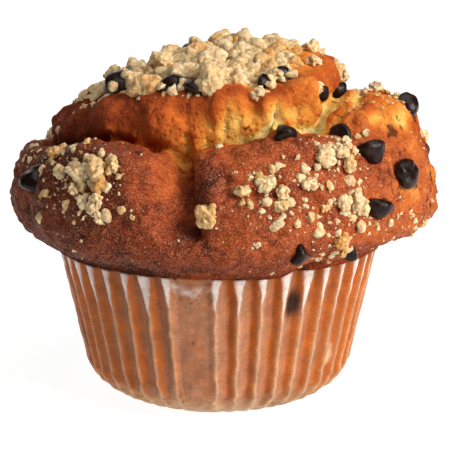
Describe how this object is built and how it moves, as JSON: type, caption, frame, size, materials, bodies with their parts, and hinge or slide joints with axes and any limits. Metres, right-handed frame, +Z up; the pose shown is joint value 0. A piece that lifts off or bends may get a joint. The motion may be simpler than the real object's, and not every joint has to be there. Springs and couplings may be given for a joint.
{
  "type": "chocolate chip muffin",
  "caption": "Large muffin with a burst, crumble-topped crown and chocolate drops, baked in a pleated paper case.",
  "frame": {"origin": "middle of the flat foot of the paper case, on the surface the muffin stands on", "axes": "+Z up along the axis of the case, -Y towards the side shown in the picture, +X to that side's right"},
  "size_m": [0.0956, 0.094, 0.0822],
  "materials": {
    "cake_crust": "baked crust, golden to red-brown, with pale baked-on crumble",
    "case_paper": "greaseproof paper, translucent where it touches the cake",
    "chocolate": "dark chocolate, satin"
  },
  "bodies": {
    "root": {"muffin_cake": "cake_crust", "paper_case": "case_paper", "chocolate_drop_01": "chocolate", "chocolate_drop_02": "chocolate", "chocolate_drop_03": "chocolate", "chocolate_drop_04": "chocolate", "chocolate_drop_05": "chocolate", "chocolate_drop_06": "chocolate", "chocolate_drop_07": "chocolate", "chocolate_drop_08": "chocolate", "chocolate_drop_09": "chocolate", "chocolate_drop_10": "chocolate", "chocolate_drop_11": "chocolate", "chocolate_drop_12": "chocolate", "chocolate_drop_13": "chocolate", "chocolate_drop_14": "chocolate", "chocolate_drop_15": "chocolate", "chocolate_drop_16": "chocolate", "chocolate_drop_17": "chocolate", "chocolate_drop_18": "chocolate", "chocolate_drop_19": "chocolate", "chocolate_drop_20": "chocolate", "chocolate_drop_21": "chocolate", "chocolate_drop_22": "chocolate", "chocolate_drop_23": "chocolate", "chocolate_drop_24": "chocolate", "chocolate_drop_25": "chocolate", "chocolate_drop_26": "chocolate"}
  },
  "joints": []
}
